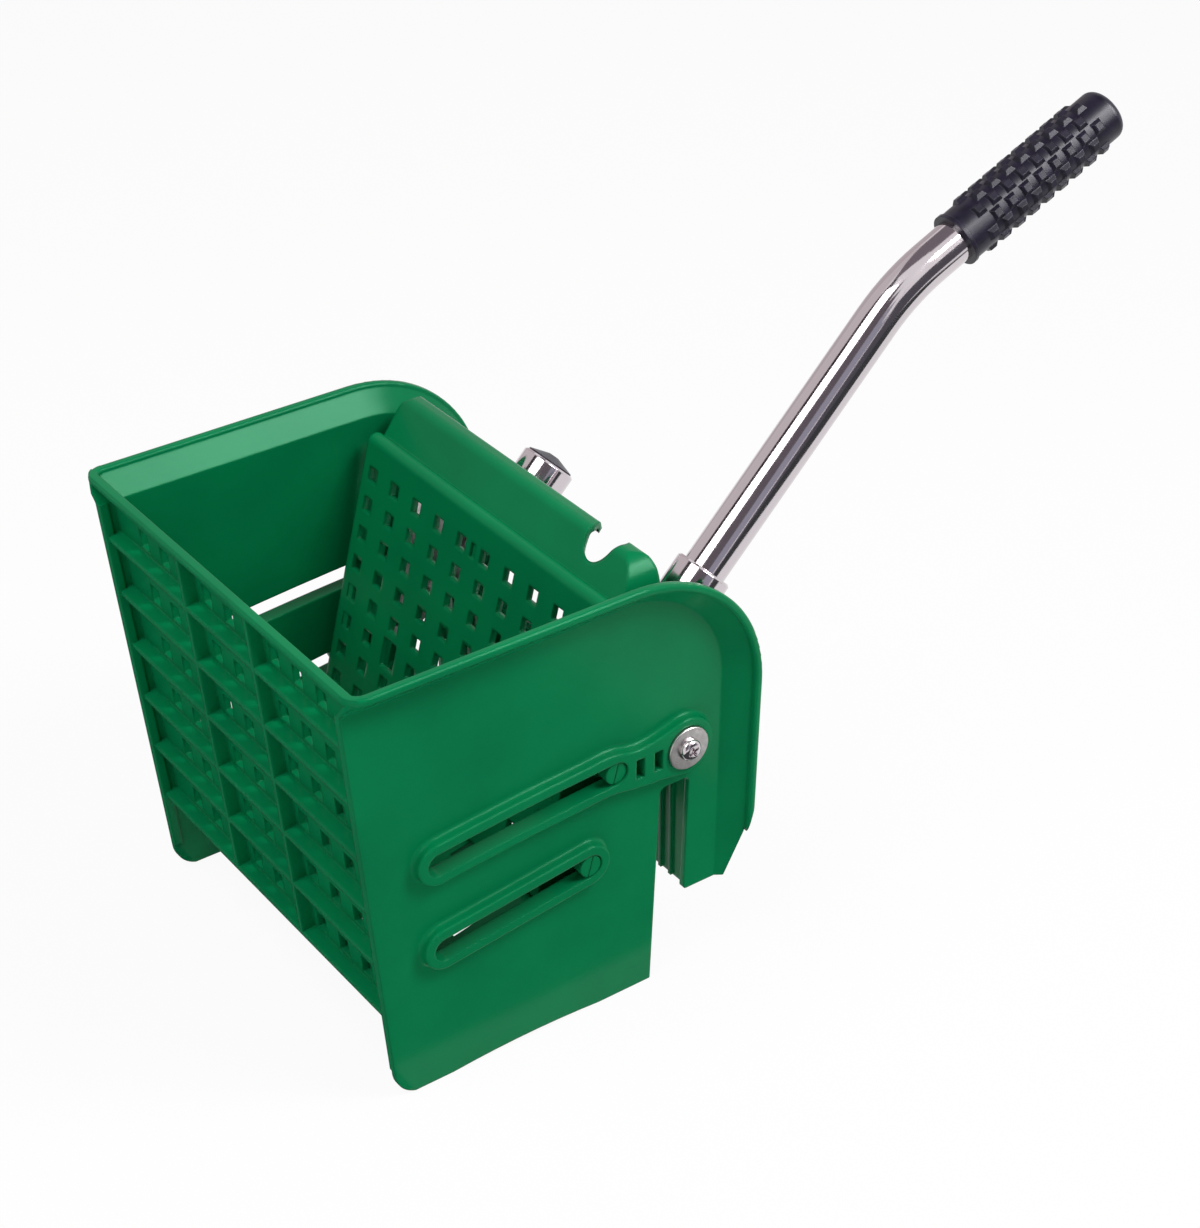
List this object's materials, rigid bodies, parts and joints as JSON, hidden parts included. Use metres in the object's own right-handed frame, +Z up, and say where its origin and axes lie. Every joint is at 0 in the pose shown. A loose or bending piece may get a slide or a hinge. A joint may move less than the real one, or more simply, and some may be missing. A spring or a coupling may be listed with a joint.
{
  "type": "mop wringer",
  "caption": "Side-press mop wringer with a bent lever handle that drives a holed press plate along guide slots towards a gridded front wall; hangs on a bucket rim.",
  "frame": {"origin": "bottom centre of the box around the whole object with the lever up, on the floor", "axes": "+Z up, -Y towards the gridded front wall, +Y towards the lever handle, +X to the side with the handle"},
  "size_m": [0.276, 0.5432, 0.4237],
  "materials": {
    "green_plastic": "moulded, satin",
    "tube_chrome": "bright chrome",
    "socket_metal": "bright plated",
    "zinc_steel": "zinc plated",
    "black_rubber": "matt",
    "white_plastic": "natural nylon"
  },
  "bodies": {
    "body_housing": {"housing": "green_plastic", "pivot_shaft": "zinc_steel", "shaft_spacers": "white_plastic", "pivot_washers": "zinc_steel", "pivot_screws": "zinc_steel"},
    "body_lever": {"hub_tube": "socket_metal", "hub_bushes": "white_plastic", "left_socket": "socket_metal", "right_socket": "socket_metal", "socket_plug": "black_rubber", "left_crank": "zinc_steel", "right_crank": "zinc_steel", "crank_pins": "zinc_steel", "crank_pin_clips": "zinc_steel", "handle_tube": "tube_chrome", "handle_grip": "black_rubber"},
    "body_lower_guide": {"lower_guide_pins": "green_plastic"},
    "body_press_plate": {"press_plate": "green_plastic", "upper_guide_pins": "green_plastic", "lug_pins": "zinc_steel", "lug_pin_clips": "zinc_steel"},
    "body_links": {"left_link": "zinc_steel", "right_link": "zinc_steel"}
  },
  "joints": [
    {"name": "lever_swing", "type": "hinge", "parent": "body_housing", "child": "body_lever", "pos_m": [0, -0.06601, 0.1546], "axis": [1, 0, 0], "range_deg": [0, 50]},
    {"name": "guide_slide", "type": "slide", "parent": "body_housing", "child": "body_lower_guide", "axis": [0, -0.9921, -0.1253], "range_m": [0, 0.0915]},
    {"name": "plate_turn", "type": "hinge", "parent": "body_lower_guide", "child": "body_press_plate", "pos_m": [0, -0.12851, 0.1032], "axis": [1, 0, 0], "range_deg": [0, 19.52]},
    {"name": "link_turn", "type": "hinge", "parent": "body_lever", "child": "body_links", "pos_m": [0, -0.07041, 0.2274], "axis": [1, 0, 0], "range_deg": [-80.8, 0]}
  ],
  "couplings": [
    {"joint": "guide_slide", "follows": "lever_swing", "m_per_rad": 0.10485},
    {"joint": "plate_turn", "follows": "lever_swing", "ratio": 0.3904},
    {"joint": "link_turn", "follows": "lever_swing", "ratio": -1.616}
  ]
}
